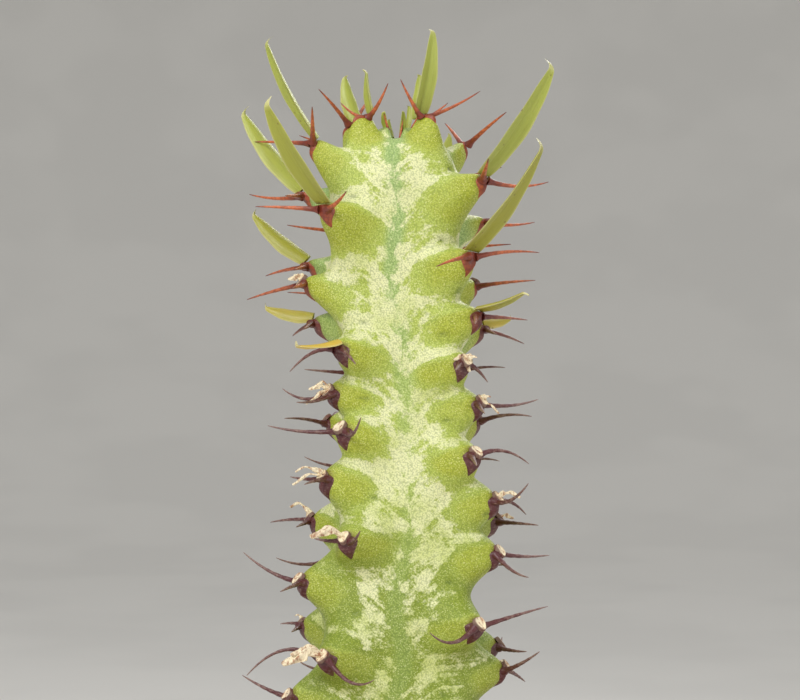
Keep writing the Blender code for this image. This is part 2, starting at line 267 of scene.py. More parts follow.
def rib_teeth(teeth):
    """The reach and turn of every tooth of a rib: the stated ones, then the older ones at an even pitch."""
    found = [(reach * MM, math.radians(turn)) for reach, turn in teeth]
    middle = sum(turn for _, turn in found) / len(found)
    side = math.copysign(1, middle - found[-1][1])
    while found[-1][0] + LOWER_PITCH < REACH_KNOTS[-1] - LAST_TOOTH_ABOVE_SOIL:
        found.append((found[-1][0] + LOWER_PITCH, middle + side * LOWER_SWING))
        side = -side
    return found


TEETH = {rib: rib_teeth(teeth) for rib, teeth in RIBS.items()}
ALL_TEETH = [tooth for teeth in TEETH.values() for tooth in teeth]


def ridge_weight(reach, turn):
    """1 on the crest of a rib and 0 in a groove: a bell curve round each rib's line, which the teeth sway."""
    weight = np.zeros(np.broadcast(reach, turn).shape)
    for teeth in TEETH.values():
        reaches, turns = np.array(teeth).T
        line = (np.interp(reach, reaches, turns) + turns.mean()) / 2
        weight = np.maximum(weight, np.exp(-((turn_between(turn, line) / RIDGE_SPREAD) ** 2)))
    return weight


def tooth_growth(reach):
    """How grown a tooth is: 0.55 beside the tip, and 1 from 16 mm on."""
    return np.clip(0.45 + reach / 0.030, 0.55, 1)


def tooth_age(reach):
    """0 for a tooth up to 30 mm from the tip and 1 from 70 mm on."""
    return np.clip((reach - 0.030) / 0.040, 0, 1)


def tooth_shelf(reach):
    """How far a tooth's shelf falls away over it: short and level when young, long and sloping when old."""
    return (YOUNG_SHELF + (OLD_SHELF - YOUNG_SHELF) * tooth_age(reach)) * tooth_growth(reach)


def tooth_bells(reach, turn):
    """Each tooth's bell over the skin in turn: a bell across, a shelf above and a long slope below."""
    reach, turn = np.broadcast_arrays(np.asarray(reach, float), np.asarray(turn, float))
    radius = np.maximum(smooth(reach, RIDGE_RADII), 0.004)
    for tooth_reach, tooth_turn in ALL_TEETH:
        grown = tooth_growth(tooth_reach)
        near = np.abs(reach - tooth_reach) < 4 * TOOTH_SLOPE
        across = turn_between(turn, tooth_turn)[near] * radius[near] / (TOOTH_HALF_WIDTH * grown)
        below = (reach - tooth_reach)[near]
        slope = np.maximum(below - TOOTH_FACE * grown, 0) / (TOOTH_SLOPE * grown)
        along = np.where(below < 0, below / tooth_shelf(tooth_reach), slope)
        bell = np.zeros(reach.shape)
        bell[near] = np.exp(-(across**2) - along**2)
        yield grown, bell


def tooth_swell(reach, turn):
    """How far the teeth raise the skin: the cube root of the sum of their cubed bells."""
    return sum((TOOTH_HEIGHT * grown * bell) ** 3 for grown, bell in tooth_bells(reach, turn)) ** (1 / 3)


def notch_pits(reach, turn):
    """1 in the small pit over each tooth, beside the rib's crest: a bell across and a bell along."""
    reach, turn = np.broadcast_arrays(np.asarray(reach, float), np.asarray(turn, float))
    radius = np.maximum(smooth(reach, RIDGE_RADII), 0.004)
    pits = np.zeros(np.broadcast(reach, turn).shape)
    for tooth_reach, tooth_turn in ALL_TEETH:
        side = math.copysign(PIT_SIDE, math.sin(tooth_turn) * math.cos(tooth_turn))
        above = tooth_reach - 2.0 * tooth_shelf(tooth_reach)
        near = np.abs(reach - above) < 0.0015
        across = turn_between(turn, tooth_turn)[near] * radius[near] + side
        bell = np.exp(-((across / PIT_WIDTH) ** 2) - ((reach[near] - above) / PIT_HEIGHT) ** 2)
        pits[near] = np.maximum(pits[near], bell)
    return pits


def ripple(reach, turn):
    """Slow unevenness of the flesh: three crossing sine waves."""
    return (
        np.sin(4 * turn + 160 * reach)
        + np.sin(7 * turn - 290 * reach + 1.3)
        + np.sin(3 * turn + 430 * reach + 2.1)
    ) / 3


def skin(reach, turn):
    """The stem's surface: a ribbed column with a domed tip, raised by its teeth along the skin's own normal."""
    reach, turn = np.broadcast_arrays(np.asarray(reach, float), np.asarray(turn, float))
    groove = smooth(reach, GROOVE_RADII)
    ridge = smooth(reach, RIDGE_RADII)
    depth = smooth(reach, DEPTHS)
    step = 0.5 * MM
    widens = smooth(reach + step, RIDGE_RADII) - smooth(reach - step, RIDGE_RADII)
    sinks = smooth(reach + step, DEPTHS) - smooth(reach - step, DEPTHS)
    length = np.hypot(widens, sinks)
    length = np.where(length > 0, length, 1)
    swell = tooth_swell(reach, turn)
    fade = np.clip(1 - depth / STEM_HEIGHT, 0, 1)
    fine = RIPPLE_DEPTH * np.minimum(6 * fade, 1) * ripple(reach, turn) - PIT_DEPTH * notch_pits(reach, turn)
    radius = groove + (ridge - groove) * ridge_weight(reach, turn) + (swell + fine) * sinks / length
    lift = YOUNG_LIFT + (OLD_LIFT - YOUNG_LIFT) * tooth_age(reach)
    height = STEM_TOP - depth + swell * (np.maximum(widens, 0) / length + lift) + fine * widens / length
    beside = np.clip(np.abs(radius * np.sin(turn)) / CROWN_SLIT, 0, 1)
    height = height + CROWN_HEIGHT * beside**2 * (3 - 2 * beside) * np.exp(-((reach / CROWN_REACH) ** 6))
    lean = SWAY * np.sin(2 * math.pi * (depth - SWAY_START) / SWAY_LENGTH) * np.minimum(3 * fade, 1)
    points = around(radius, turn, height)
    points[..., 0] += lean
    return points


def tooth_axes(reach, turn):
    """A tooth's tip and its three directions: outward, to the side, and up along its face."""
    level, side = level_ways(turn)
    along = unit(skin(reach - 0.4 * MM, turn) - skin(reach + 0.4 * MM, turn))
    lean = min(max(along[2], 0.5), 1)
    up = unit(np.array((0, 0, lean)) - level * math.sqrt(1 - lean**2))
    return skin(reach, turn), np.cross(side, up), side, up


# ---- Meshes ----


def closed_grid(points, first_tip=None, last_tip=None, **values):
    """A closed skin over rings of points: quads between the rings, and a fan to a tip at each end.

    With no tips the last ring joins the first. Returns points, faces and per-point values, with the faces
    turned outwards by the sign of the volume.
    """
    rows, columns = points.shape[:2]
    spread = {name: np.broadcast_to(value, (rows, columns)).ravel() for name, value in values.items()}
    cloud = points.reshape(-1, 3)
    index = np.arange(rows * columns).reshape(rows, columns)
    if first_tip is None:
        index = np.vstack([index, index[:1]])
        fans = np.zeros((0, 3), int)
    else:
        cloud = np.vstack([cloud, np.asarray(first_tip)[None], np.asarray(last_tip)[None]])
        spread = {name: np.append(value, (value[0], value[-1])) for name, value in spread.items()}
        zero = np.full(columns, rows * columns)
        first, last = index[0], index[-1]
        fans = np.vstack([
            np.stack([zero, first, np.roll(first, -1)], axis=-1),
            np.stack([zero + 1, np.roll(last, -1), last], axis=-1),
        ])
    ahead = np.roll(index, -1, axis=1)
    quads = np.stack([index[:-1], index[1:], ahead[1:], ahead[:-1]], axis=-1).reshape(-1, 4)
    a, b, c, d = (cloud[quads[:, i]] - cloud.mean(axis=0) for i in range(4))
    if (a * (np.cross(b, c) + np.cross(c, d))).sum() < 0:
        quads, fans = quads[:, ::-1], fans[:, ::-1]
    return cloud, quads, fans, spread


def make_piece(name, solids, material, slot, *nodes):
    """Joins closed solids into one mesh object that rides on the plant, and hides the nodes it stands for."""
    clouds, quads, fans, start = [], [], [], 0
    for cloud, four, three, _ in solids:
        clouds.append(cloud)
        quads.append(four + start)
        fans.append(three + start)
        start += len(cloud)
    mesh = bpy.data.meshes.new(name)
    faces = np.concatenate(quads).tolist() + np.concatenate(fans).tolist()
    mesh.from_pydata(np.concatenate(clouds), [], faces)
    for value in solids[0][3]:
        layer = mesh.attributes.new(value, "FLOAT", "POINT")
        layer.data.foreach_set("value", np.concatenate([s[3][value] for s in solids]).astype(np.float32))
    mesh.materials.append(material)
    mesh.shade_smooth()
    mesh.set_sharp_from_angle(angle=math.radians(60))
    piece = bpy.data.objects.new(name, mesh)
    bpy.context.scene.collection.objects.link(piece)
    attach(piece, ROOT_BODY)
    if nodes:
        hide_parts(*nodes)


def carried(path, wide, across, tall, above):
    """Rings of points carried along a path: so far across and above in each ring's own two directions."""
    return path[:, None] + wide[:, None] * across[..., None] + tall[:, None] * above[..., None]


def along_path(points):
    """The unit direction of a path at each of its points."""
    return unit(np.gradient(points, axis=0))


# ---- Finishes ----


def display(red, green, blue):
    """A scene-linear colour from the 0 to 255 values that a display shows."""
    return tuple(((c / 255 + 0.055) / 1.055) ** 2.4 if c > 10 else c / 3294.6 for c in (red, green, blue))


class Finish:
    """Builds one material's nodes from short calls. A value is a number, a colour or another node's socket."""

    def __init__(self, name, **shader_values):
        self.material = bpy.data.materials.new(name)
        self.material.use_nodes = True
        self.tree = self.material.node_tree
        self.shader = self.tree.nodes["Principled BSDF"]
        self.place = self.node("ShaderNodeTexCoord", "Object")
        for name, value in shader_values.items():
            self.put(self.shader.inputs[name.replace("_", " ")], value)

    def put(self, socket, value):
        """Links a socket to the input, or sets the input's own value."""
        if isinstance(value, bpy.types.NodeSocket):
            self.tree.links.new(value, socket)
        elif socket.type == "RGBA":
            socket.default_value = (*value[:3], 1)
        else:
            socket.default_value = value

    def node(self, kind, output, sockets=(), **settings):
        """Adds a node, fills its inputs from pairs of (name or number, value), and gives one output."""
        made = self.tree.nodes.new(kind)
        for name, value in settings.items():
            setattr(made, name, value)
        for name, value in sockets:
            self.put(made.inputs[name], value)
        return made.outputs[output]

    def math(self, operation, first, second=0.0):
        return self.node("ShaderNodeMath", 0, ((0, first), (1, second)), operation=operation)

    def times(self, first, second):
        return self.math("MULTIPLY", first, second)

    def plus(self, first, second):
        return self.math("ADD", first, second)

    def mix(self, first, second, share):
        return self.node("ShaderNodeMix", 2, ((0, share), (6, first), (7, second)), data_type="RGBA")

    def swing(self, noise, size):
        """Noise made to vary about 0, by half the size each way."""
        return self.times(self.plus(noise, -0.5), size)

    def vector(self, x, y, z):
        return self.node("ShaderNodeCombineXYZ", 0, ((0, x), (1, y), (2, z)))

    def step(self, value, low, high, smallest=0.0, largest=1.0):
        """A smooth step from the smallest to the largest as the value goes from low to high."""
        sockets = ((0, value), (1, low), (2, high), (3, smallest), (4, largest))
        return self.node("ShaderNodeMapRange", 0, sockets, interpolation_type="SMOOTHSTEP")

    def stretched(self, stretch):
        """The place on the piece, scaled along each axis."""
        return self.node("ShaderNodeMapping", 0, ((0, self.place), (3, stretch)))

    def noise(self, scale, detail=3.0, roughness=0.5, vector=None):
        place = ("Vector", vector or self.place)
        sockets = (place, ("Scale", scale), ("Detail", detail), ("Roughness", roughness))
        return self.node("ShaderNodeTexNoise", 0, sockets)

    def cells(self, scale):
        """Distance from the middle of the nearest of many small cells."""
        return self.node("ShaderNodeTexVoronoi", "Distance", (("Vector", self.place), ("Scale", scale)))

    def value_of(self, name):
        """A number that the mesh holds at each point."""
        return self.node("ShaderNodeAttribute", "Fac", attribute_name=name)

    def bump(self, height, strength, distance):
        sockets = (("Height", height), ("Strength", strength), ("Distance", distance))
        return self.node("ShaderNodeBump", 0, sockets)

    def done(self, colour, roughness=None, normal=None):
        """Joins the colour, roughness and normal to the shader and gives the material."""
        self.put(self.shader.inputs["Base Color"], colour)
        if roughness is not None:
            self.put(self.shader.inputs["Roughness"], roughness)
        if normal is not None:
            self.put(self.shader.inputs["Normal"], normal)
        return self.material


def skin_finish(looks):
    """Waxy, grained skin: green, with pale feathery marbling between the tooth cushions and a cooler groove.

    The marbling is the mesh's own paleness plus fingers, which are noise drawn out along the marbling's
    direction, plus rounder blotches, cut at a level. Rounded cells are the skin's grains, each with a painted
    highlight on its top and painted shade in the hollows between them; the pits over the teeth get painted
    shade.
    """
    glow = {"Subsurface_Weight": 0.10, "Subsurface_Radius": (0.9, 1.0, 0.3), "Subsurface_Scale": 0.0010}
    f = Finish("euphorbia_skin", **glow)
    cushion, groove, age = f.value_of("cushion"), f.value_of("groove"), f.value_of("age")
    drawn_out, flank = f.times(f.value_of("along"), 0.30), f.times(f.value_of("flank"), 7.3)
    lane = f.vector(drawn_out, f.value_of("across"), flank)
    finger = f.noise(0.80, 4.0, 0.62, lane)
    blotch = f.noise(270, 4.0, 0.62)
    speckle = f.noise(2600, 1.0)
    ragged = f.plus(f.swing(finger, 2.5), f.swing(blotch, 3.0))
    ragged = f.plus(ragged, f.swing(speckle, 0.8))
    marble = f.step(f.plus(f.value_of("pale"), ragged), 0.0, 0.48)
    tint = f.noise(140, 3.0, 0.6)
    lime = f.step(f.plus(cushion, f.swing(tint, 1.6)), 0.10, 0.85)
    flesh = f.mix(looks.green, looks.lime, lime)
    flesh = f.mix(flesh, looks.deep, f.times(f.step(age, 0.38, 0.58), f.step(cushion, 0.6, 0.1, 0.4, 1.0)))
    flesh = f.mix(flesh, looks.groove, f.times(f.step(groove, 0.2, 0.8), f.step(age, 0.45, 0.15, 0.25, 0.85)))
    pale = f.mix(looks.cream, looks.pale_green, f.step(f.plus(tint, f.times(age, 0.30)), 0.52, 0.86, 0.0, 0.80))
    colour = f.mix(flesh, pale, f.times(marble, 0.95))
    grain = f.cells(looks.grain_scale)
    # Painted highlight: the top of each grain is mixed towards the cream, as if light caught it.
    painted_grain_highlight = f.times(f.step(grain, 0.38, 0.10), f.step(f.noise(1100), 0.35, 0.6, 0.35, 1.0))
    colour = f.mix(colour, f.mix(colour, looks.cream, 0.75), f.times(painted_grain_highlight, 0.90))
    # Painted shade: the hollows between the grains are darkened towards the pit colour.
    colour = f.mix(colour, f.mix(colour, looks.pit, 0.34), f.step(grain, 0.40, 0.75))
    # Painted shade: the pits over the teeth are darkened towards the pit colour.
    colour = f.mix(colour, looks.pit, f.times(f.value_of("pit"), 0.5))
    colour = f.mix(colour, looks.pit, f.step(age, 0.030, 0.010, 0.0, 0.5))
    stain = f.times(f.step(f.value_of("tip"), 0.84, 0.98), 0.5)
    colour = f.mix(colour, looks.stain, stain)
    corky = f.step(f.plus(age, f.times(f.noise(260, 4.0, 0.6), 0.25)), 0.98, 1.12)
    colour = f.mix(colour, looks.cork, corky)
    roughness = f.step(grain, 0.1, 0.6, 0.36, 0.52)
    height = f.plus(f.times(grain, -1.0), f.times(f.noise(90, 2.0, 0.5), 0.8))
    return f.done(colour, roughness, f.bump(height, 0.5, 0.00020))


def leaf_finish(looks):
    """Satin leaf: lime green, yellower with age, with fine long streaks, a pale rim and a pale hooked tip."""
    glow = {"Subsurface_Weight": 0.15, "Subsurface_Radius": (0.8, 1.0, 0.3), "Subsurface_Scale": 0.0008}
    f = Finish("euphorbia_leaf", **glow)
    along, across, age = f.value_of("along"), f.value_of("across"), f.value_of("age")
    lane = f.vector(f.times(across, 6.0), f.times(along, 1.2), age)
    streak = f.noise(3.0, 4.0, 0.6, lane)
    blade = f.mix(looks.young, looks.grown, f.step(age, 0.05, 0.25))
    blade = f.mix(blade, looks.old, f.step(f.plus(age, f.times(f.noise(300), 0.3)), 0.72, 1.10))
    blade = f.mix(blade, looks.shade, f.step(streak, 0.45, 0.75, 0.0, 0.55))
    edge = f.step(f.math("ABSOLUTE", across), 0.78, 0.98)
    blade = f.mix(blade, looks.rim, f.times(edge, 0.5))
    blade = f.mix(blade, looks.rim, f.step(along, 0.90, 1.0, 0.0, 0.9))
    blade = f.mix(blade, looks.spot, f.step(f.cells(420), 0.11, 0.06, 0.0, 0.5))
    height = f.plus(f.times(streak, 0.7), f.times(f.noise(1500, 2.0), 0.4))
    return f.done(blade, f.step(streak, 0.3, 0.8, 0.36, 0.50), f.bump(height, 0.35, 0.00012))


def horn_finish(looks):
    """Spine horn: orange red when young, purple brown and then dry grey with age, darker at its tip."""
    f = Finish("euphorbia_horn", Coat_Weight=0.15, Coat_Roughness=0.25)
    along, age = f.value_of("along"), f.value_of("age")
    fleck = f.noise(1500, 4.0, 0.65, f.stretched((1.0, 1.0, 1.6)))
    fresh = f.mix(looks.young_root, looks.young, f.step(along, 0.05, 0.45))
    fresh = f.mix(fresh, looks.young_tip, f.step(along, 0.80, 1.0))
    dry = f.mix(looks.old, looks.dry, f.step(f.plus(fleck, f.times(along, 0.35)), 0.52, 0.85))
    colour = f.mix(fresh, dry, f.step(age, 0.15, 0.42))
    colour = f.mix(colour, looks.dry, f.times(f.step(age, 0.7, 1.1), f.step(fleck, 0.35, 0.6, 0.2, 0.85)))
    colour = f.mix(colour, looks.old, f.step(f.cells(1900), 0.4, 0.7, 0.0, 0.4))
    return f.done(colour, f.step(fleck, 0.3, 0.7, 0.34, 0.6), f.bump(fleck, 0.5, 0.00018))


def dry_finish(looks):
    """Dead leaf and leaf scars: papery cream with brown stains and fine creases."""
    f = Finish("euphorbia_dry_leaf")
    crease = f.noise(1100, 4.0, 0.6, f.stretched((1.6, 1.6, 0.7)))
    colour = f.mix(looks.paper, looks.paper_brown, f.step(crease, 0.45, 0.66, 0.0, 0.9))
    colour = f.mix(colour, looks.old, f.times(f.value_of("rim"), 0.85))
    return f.done(colour, 0.75, f.bump(crease, 0.6, 0.0002))


def clay_finish(looks):
    """Unglazed clay: warm orange brown, mottled, with fine pores and a chalky bloom that thickens low down."""
    f = Finish("pot_clay_finish")
    mottle = f.noise(38, 5.0, 0.6)
    pores = f.cells(900)
    bloom = f.noise(60, 6.0, 0.62, f.stretched((1.0, 1.0, 0.5)))
    level = f.node("ShaderNodeSeparateXYZ", 2, ((0, f.place),))
    colour = f.mix(looks.clay, looks.clay_dark, f.step(mottle, 0.4, 0.7, 0.0, 0.7))
    chalk = f.times(f.step(bloom, 0.52, 0.74), f.step(level, 0.088, 0.0, 0.25, 0.85))
    colour = f.mix(colour, looks.bloom, chalk)
    colour = f.mix(colour, looks.clay_dark, f.step(pores, 0.16, 0.06, 0.0, 0.6))
    height = f.plus(f.times(f.noise(700, 4.0, 0.6), 0.6), f.times(f.step(pores, 0.05, 0.2), 0.5))
    return f.done(colour, f.step(mottle, 0.3, 0.7, 0.78, 0.92), f.bump(height, 0.45, 0.00025))


def earth_finish(looks):
    """Potting soil: dark, crumbly and a little uneven in tone."""
    f = Finish("potting_soil_finish")
    crumb = f.noise(620, 6.0, 0.7)
    colour = f.mix(looks.soil, looks.soil_light, f.step(crumb, 0.45, 0.72))
    return f.done(colour, 0.93, f.bump(crumb, 0.9, 0.0008))


def grit_finish(looks):
    """Mineral grit: each stone's tone runs from dark bark over brown clay to pale pumice."""
    f = Finish("grit_finish")
    tone = f.value_of("tone")
    colour = f.mix(looks.bark, looks.brick, f.step(tone, 0.2, 0.45))
    colour = f.mix(colour, looks.pumice, f.step(tone, 0.55, 0.75))
    pit = f.noise(1600, 4.0, 0.6)
    colour = f.mix(colour, looks.soil, f.step(pit, 0.55, 0.8, 0.0, 0.5))
    return f.done(colour, 0.85, f.bump(pit, 0.6, 0.0003))


def backdrop_finish(looks):
    """Plain pale studio paper with the faintest unevenness."""
    f = Finish("backdrop_paper")
    colour = f.mix(looks.floor, tuple(0.96 * c for c in looks.floor[:3]), f.step(f.noise(6, 2.0), 0.4, 0.6))
    return f.done(colour, 0.9)


# ---- Pieces ----


def noise_of(number):
    """A steady pseudo-random value from 0 to 1 for a whole number, from the fraction of a large sine."""
    return (math.sin(number * 12.9898 + 4.1) * 43758.5453) % 1.0


def marbling(reach, turn):
    """How pale the skin is meant to be, from -1 on the cushions to 1, with the marbling's own directions.

    Each tooth has a green cushion: half an ellipse that points from the tooth to the groove and sinks on its
    way, as tall as the tooth's share of the rib. What lies between cushions is pale, most of all beside the
    groove, and the groove itself is green again. At the stem's waist the cushions are shorter and the groove is
    paler. The two directions run along and across a line that climbs from the groove to the notch over a tooth.
    """
    radius = smooth(reach, RIDGE_RADII)
    waist = np.exp(-(((reach - WAIST_REACH) / WAIST_SPREAD) ** 2))
    cushion_length = CUSHION_LENGTH + (WAIST_CUSHION_LENGTH - CUSHION_LENGTH) * waist
    cushion = np.full(np.broadcast(reach, turn).shape, -1.0)
    gap, next_gap, flank = np.full(cushion.shape, 9.0), np.full(cushion.shape, 9.0), np.zeros(cushion.shape)
    for number, teeth in enumerate(TEETH.values()):
        reaches, turns = np.array(teeth).T
        line = (np.interp(reach, reaches, turns) + turns.mean()) / 2
        beside = turn_between(turn, line)
        closer = np.abs(beside) < gap
        next_gap = np.where(closer, gap, np.minimum(next_gap, np.abs(beside)))
        gap = np.where(closer, np.abs(beside), gap)
        flank = np.where(closer, 2 * number + (beside > 0), flank)
        pitches = np.append(np.diff(reaches), LOWER_PITCH)
        for tooth_reach, tooth_turn, pitch in zip(reaches, turns, pitches):
            inward = np.abs(turn_between(turn, tooth_turn)) * radius
            below = reach - tooth_reach - 0.30 * inward
            height = np.where(below < 0, 0.18 * pitch + 0.0003, 0.58 * pitch)
            cushion = np.maximum(cushion, 1 - (inward / cushion_length) ** 2 - (below / height) ** 2)
    inside = (next_gap - gap) / 2 * 0.8 * radius
    old = np.interp(reach, OLD_MARBLING, (0, 1))
    vein = (0.55 + 0.25 * old - 0.40 * waist) * np.exp(-((inside / (0.0010 + 0.0012 * old)) ** 2))
    far = 0.42 * np.clip((inside - PALE_BAND) / PALE_FADE, 0, 1)
    tip = 0.5 * np.exp(-((reach / GREEN_TIP) ** 2))
    pale = np.minimum(-1.3 * cushion, 0.46 - 0.14 * old) - far - vein - tip
    along, across = (inside - reach) / MM / 2, (inside + reach) / MM / 2
    return {
        "pale": np.maximum(pale, -1),
        "cushion": np.clip(cushion, 0, 1),
        "groove": np.clip(1 - inside / GROOVE_BAND, 0, 1),
        "along": along,
        "across": across,
        "flank": flank,
    }


def stem_solid():
    """The skin on a grid of reach by turn, closed by the plain round root end, with the marbling's values."""
    turns = whole_turn(STEM_COLUMNS)
    reach = np.linspace(0.3 * MM, REACH_KNOTS[-1], STEM_ROWS)[:, None]
    share, rise = np.array(((1, 0.7), (1, 0.35), (0.9, 0.12), (0.6, 0.0))).T[..., None]
    root = around(ROOT_RADIUS * share, turns, STEM_FOOT + (SOIL_LEVEL - STEM_FOOT) * rise)
    values = marbling(reach, turns)
    # The pits' mask also places painted shade in the pits.
    values["pit"] = notch_pits(reach, turns)
    values["tip"] = tooth_swell(reach, turns) / TOOTH_HEIGHT
    values["age"] = np.broadcast_to(reach / REACH_KNOTS[-1], values["tip"].shape)
    for name, value in values.items():
        values[name] = np.vstack([value, np.repeat(value[-1:], len(root), axis=0)])
    top = skin(0.0, 0.0) - (0, 0, 0.1 * MM)
    return closed_grid(np.concatenate([skin(reach, turns), root]), top, (0, 0, STEM_FOOT), **values)


def leaf_solid(root, way, side, length, width, thick, age, roll, twist, hook):
    """One blade: a lens-shaped section, channelled along its middle, carried along a gently curving path.

    It is widest a third of the way up and its width falls as a smooth power to the tip, which hooks over.
    Its section starts rolled about the path and twists evenly on the way.
    """
    share = np.linspace(0, 1, 56) ** 0.9
    over = unit(np.cross(way, side))
    bend = 0.05 * share**2 - 0.03 * np.sin(math.pi * share) + hook * np.clip((share - 0.93) / 0.07, 0, 1) ** 2
    path = root + way * (length * share)[:, None] + over * (length * bend)[:, None]
    path = path - way * (0.4 * hook * length * np.clip((share - 0.95) / 0.05, 0, 1) ** 2)[:, None]
    half = width / 2 * (share + 0.12) ** 0.5 * (1 - share) ** 0.85 / 0.478 + 0.00022
    half = half * (1 + 0.03 * np.sin(17 * share + 5 * age))
    turned = roll + twist * share
    wide = side * np.cos(turned)[:, None] + over * np.sin(turned)[:, None]
    normal = over * np.cos(turned)[:, None] - side * np.sin(turned)[:, None]
    angles = whole_turn(28)[None, :]
    across, above = np.cos(angles), np.sin(angles)
    body = thick / 2 * (1 - 0.55 * share)[:, None] * above * (1 - 0.45 * across**2)
    channel = 0.30 * half[:, None] * (across**2 - 0.35)
    keel = -0.5 * thick * (1 - share)[:, None] * np.exp(-((across / 0.22) ** 2)) * (above > 0)
    points = carried(path, wide, half[:, None] * across, normal, -(channel + body + keel))
    values = {"along": share[:, None], "across": across, "age": np.full((1, 1), age)}
    tip = path[-1] + (path[-1] - path[-2]) * 0.5
    return closed_grid(points, path[0] - way * 0.2 * MM, tip, **values)


def rising_way(turn, rise):
    """The direction that points out at a turn and rises by an angle above level."""
    return level_ways(turn)[0] * math.cos(rise) + np.array((0, 0, math.sin(rise)))


def spine_solid(root, reach_out, bow, radius, age):
    """One spine: a round taper that flares at its root, from the root to its end, bowed by a parabola."""
    share = np.linspace(0, 1, 26)
    path = root + reach_out * share[:, None] + bow * (4 * share * (1 - share))[:, None]
    direction = along_path(path)
    wide = unit(np.cross(direction, (0.13, 0.21, 0.97)))
    size = radius * (0.14 + 0.86 * (1 - share) ** 0.75 + 0.75 * np.exp(-share / 0.07))
    size = size * (1 + (0.04 + 0.06 * age) * np.sin(37 * share + 9 * age))
    angles, size = whole_turn(12), size[:, None]
    points = carried(path, wide, size * np.cos(angles), np.cross(direction, wide), 0.85 * size * np.sin(angles))
    values = {"along": share[:, None], "age": np.full((1, 1), age)}
    return closed_grid(points, path[0], path[-1] + direction[-1] * radius * 0.3, **values)


def shield_solid(reach, turn, size, age):
    """The horny pad that hugs a tooth's face: a rounded triangle, point down, domed along the skin's normal."""
    angles = whole_turn(30)[None, :]
    share = np.linspace(0.06, 1, 11)[:, None]
    down = np.clip(-np.sin(angles), 0, 1)
    across = np.cos(angles) * (1 - 0.55 * down**1.5) * 0.00165 * size * share
    above = np.where(np.sin(angles) > 0, 0.00095, 0.0031) * np.sin(angles) * share * size - 0.0007 * size
    dome = 0.00085 * size * (1 - share**2.6) ** 0.6 + 0.0003 * size * np.exp(-((share - 0.75) / 0.12) ** 2)
    lumps = 0.00012 * np.sin(5 * angles + 30 * age) * np.sin(9 * share + 11 * age)
    radius = float(smooth(reach, RIDGE_RADII)) + 0.8 * TOOTH_HEIGHT
    seat = skin(reach - above, turn + across / radius)
    out = tooth_axes(reach, turn)[1]
    points = seat + out * (dome + lumps * share - 0.00012)[..., None]
    values = {"along": 0.25 * share, "age": np.full((1, 1), age)}
    middle = skin(reach + 0.0007 * size, turn) + out * 0.00085 * size
    back = skin(reach + 0.0007 * size, turn) - out * 0.0011
    return closed_grid(points, middle, back, **values)


def spine_age(reach):
    """How old a tooth's horn looks: 0 beside the tip and 1 near the soil."""
    return float(np.interp(reach, *SPINE_AGES))


def spine_pair(reach, turn, number, tips, sizes):
    """A tooth's shield and its two spines: level and stiff when young, curled or broken when old."""
    tip, out, side, up = tooth_axes(reach, turn)
    grown = min(max(0.5 + reach / 0.030, 0.6), 1)
    age = spine_age(reach)
    spread = sizes.spread * grown
    tilt = 0.9 * (1 - grown) + 0.16 * (noise_of(number) - 0.45)
    solids = [shield_solid(reach, turn, 0.85 * grown + 0.25 * age, age)]
    for hand in (-1, 1):
        chance = noise_of(3 * number + hand)
        length = sizes.length * grown * (0.92 + 0.16 * chance)
        bow = 0.0004 * (chance - 0.3)
        if age > 0.3:
            length *= 1 - 0.45 * age * noise_of(7 * number + hand) ** 1.5
            bow = 0.0040 * (noise_of(5 * number + hand) - 0.5) * age
        way = out * math.cos(spread) + side * (hand * math.sin(spread)) + up * tilt
        reach_out = unit(way) * length
        if tips:
            right, rise, bow = (value * MM for value in tips[(hand + 1) // 2])
            reach_out = np.array((right, 0.7 * reach_out[1], rise))
        root = tip + side * (hand * 0.00095 * grown) + out * 0.0002 - up * 0.0007 * grown
        radius = sizes.radius * (0.80 + 0.25 * grown)
        solids.append(spine_solid(root, reach_out, np.array((0, 0, bow)), radius, age))
    return solids


def scar_solid(reach, turn, size):
    """A leaf scar: a shallow round cup with a raised rim, on top of the shield."""
    angles = whole_turn(20)[None, :]
    share = np.array((0.3, 0.6, 0.8, 0.92, 1.0, 1.04))[:, None]
    lift = np.array((0.05, 0.06, 0.16, 0.24, 0.12, -0.45))[:, None] * MM
    tip, out, side, up = tooth_axes(reach, turn)
    outline = 1 + 0.10 * np.sin(3 * angles + 40 * reach / MM)
    face = out * 0.86 + up * 0.5
    rise = np.cross(side, face) * -1
    centre = tip + out * 0.00055 * size - up * 0.0001
    radius = 0.00078 * size * share * outline
    points = (
        centre
        + side * (radius * np.cos(angles))[..., None]
        + rise * (radius * np.sin(angles) * 1.15)[..., None]
        + face * np.broadcast_to(lift, radius.shape)[..., None]
    )
    values = {"rim": np.clip((share - 0.84) / 0.15, 0, 1)}
    return closed_grid(points, centre + face * 0.04 * MM, centre - face * 0.6 * MM, **values)


